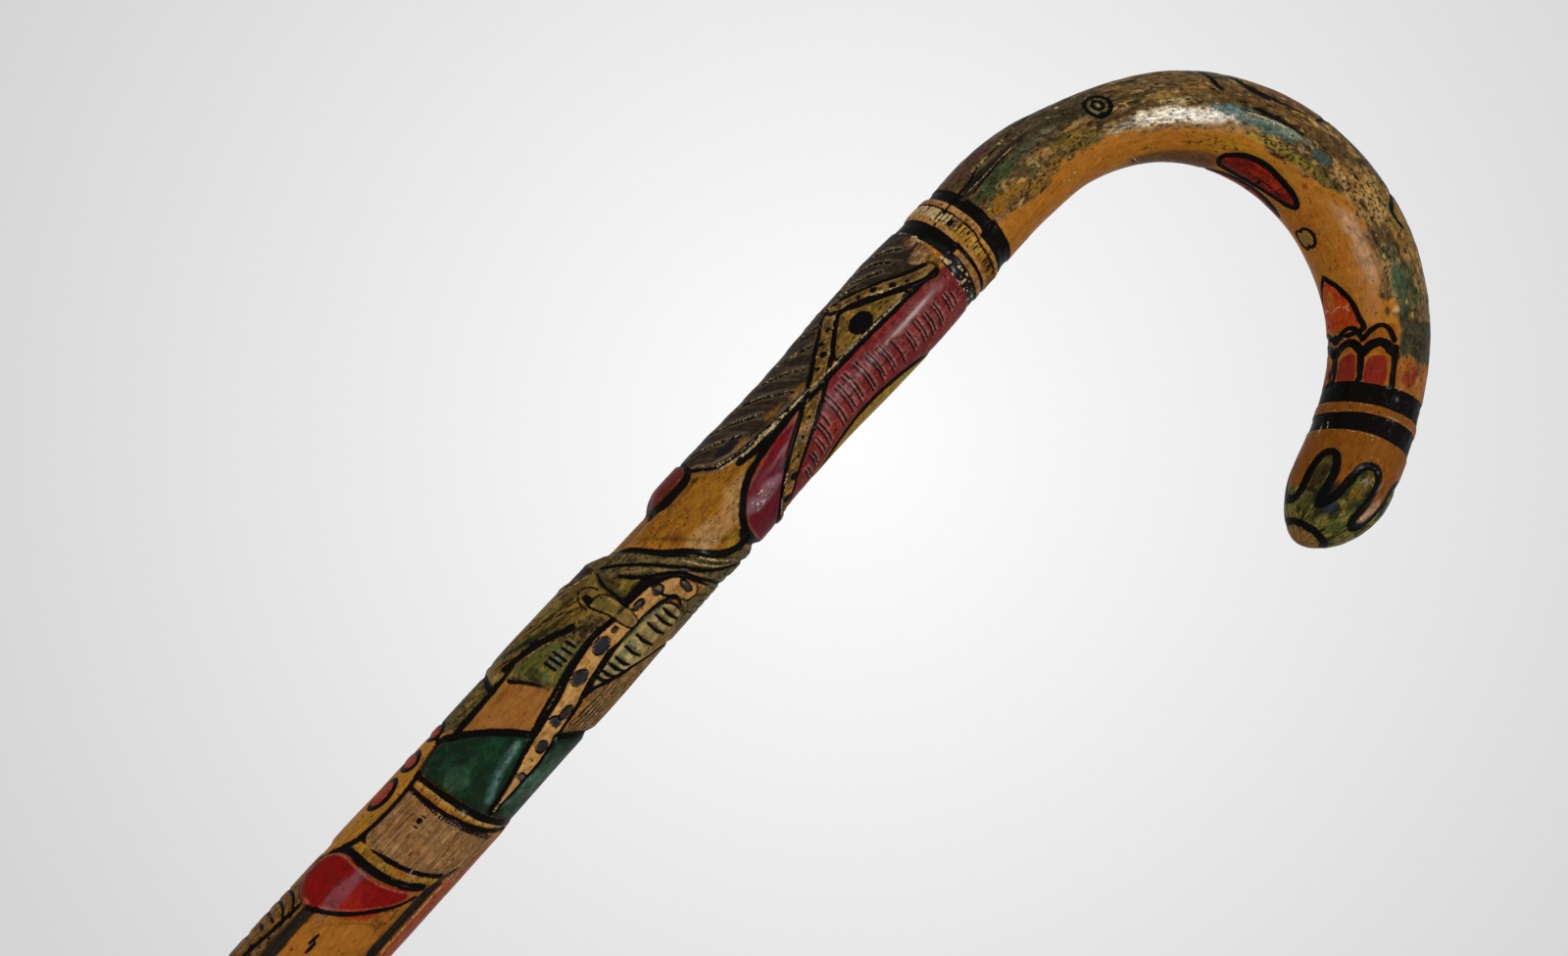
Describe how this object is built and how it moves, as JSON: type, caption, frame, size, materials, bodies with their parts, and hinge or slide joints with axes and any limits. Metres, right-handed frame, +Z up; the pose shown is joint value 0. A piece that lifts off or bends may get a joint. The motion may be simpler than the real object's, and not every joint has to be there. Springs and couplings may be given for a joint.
{
  "type": "walking stick",
  "caption": "Walking stick bent from one length of wood, with a crook handle, painted low relief carving on the shaft, and a ferrule with a rubber tip at the foot.",
  "frame": {"origin": "middle of the flat sole of the rubber tip", "axes": "+Z runs up the straight shaft, the crook turns toward +X, and the stick is thin along Y"},
  "size_m": [0.148, 0.036, 0.8997],
  "materials": {
    "painted_wood": "carved, painted and varnished",
    "brass": "dull with age",
    "steel": "zinc grey",
    "rubber": "matt"
  },
  "bodies": {
    "root": {"carved_stick": "painted_wood", "ferrule": "brass", "ferrule_nail_front": "brass", "ferrule_nail_back": "brass", "tip_washer": "steel", "rubber_tip": "rubber"}
  },
  "joints": []
}
